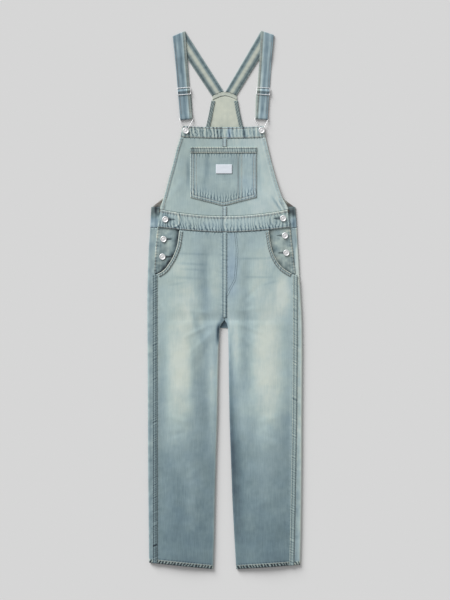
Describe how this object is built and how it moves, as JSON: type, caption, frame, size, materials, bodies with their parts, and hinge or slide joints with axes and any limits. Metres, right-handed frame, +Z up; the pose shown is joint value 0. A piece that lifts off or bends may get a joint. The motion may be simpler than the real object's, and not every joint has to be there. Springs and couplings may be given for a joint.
{
  "type": "bib overalls",
  "caption": "Full-length denim bib overalls laid flat, with buckled straps, a bib pocket and buttoned side openings.",
  "frame": {"origin": "on the floor under the middle of the garment laid flat, bottom centre of its box", "axes": "+X across the garment, to the viewer's right; +Y from the leg hems to the shoulder folds of the straps; +Z up from the floor, out of the front"},
  "size_m": [0.4413, 1.5327, 0.0143],
  "materials": {
    "denim": "washed denim, pale blue",
    "deep_denim": "denim, darker blue edge",
    "cream_denim": "wrong side of the denim, cream",
    "silver_metal": "silver-coloured metal",
    "white_label": "white woven label, blank"
  },
  "bodies": {
    "root": {"back_bib": "cream_denim", "back_hem_left": "deep_denim", "back_hem_right": "deep_denim", "back_leg_left": "denim", "back_leg_right": "denim", "bib_band": "denim", "bib_button_left": "silver_metal", "bib_button_right": "silver_metal", "bib_left": "denim", "bib_pocket": "denim", "bib_pocket_hem": "denim", "bib_right": "denim", "bib_seam_lower": "denim", "bib_seam_upper": "denim", "buckle_left": "silver_metal", "buckle_right": "silver_metal", "centre_seam": "denim", "front_leg_left": "denim", "front_leg_right": "denim", "outseam_left": "denim", "outseam_right": "denim", "pocket_label": "white_label", "pocket_rim_left": "denim", "pocket_rim_right": "denim", "side_button_left_1": "silver_metal", "side_button_left_2": "silver_metal", "side_button_left_3": "silver_metal", "side_button_right_1": "silver_metal", "side_button_right_2": "silver_metal", "side_button_right_3": "silver_metal", "side_facing_left": "denim", "side_facing_right": "denim", "slider_left": "silver_metal", "slider_right": "silver_metal", "strap_left": "denim", "strap_right": "denim", "waist_tab_left": "denim", "waist_tab_right": "denim", "waistband": "denim", "yoke_band": "cream_denim"}
  },
  "joints": []
}
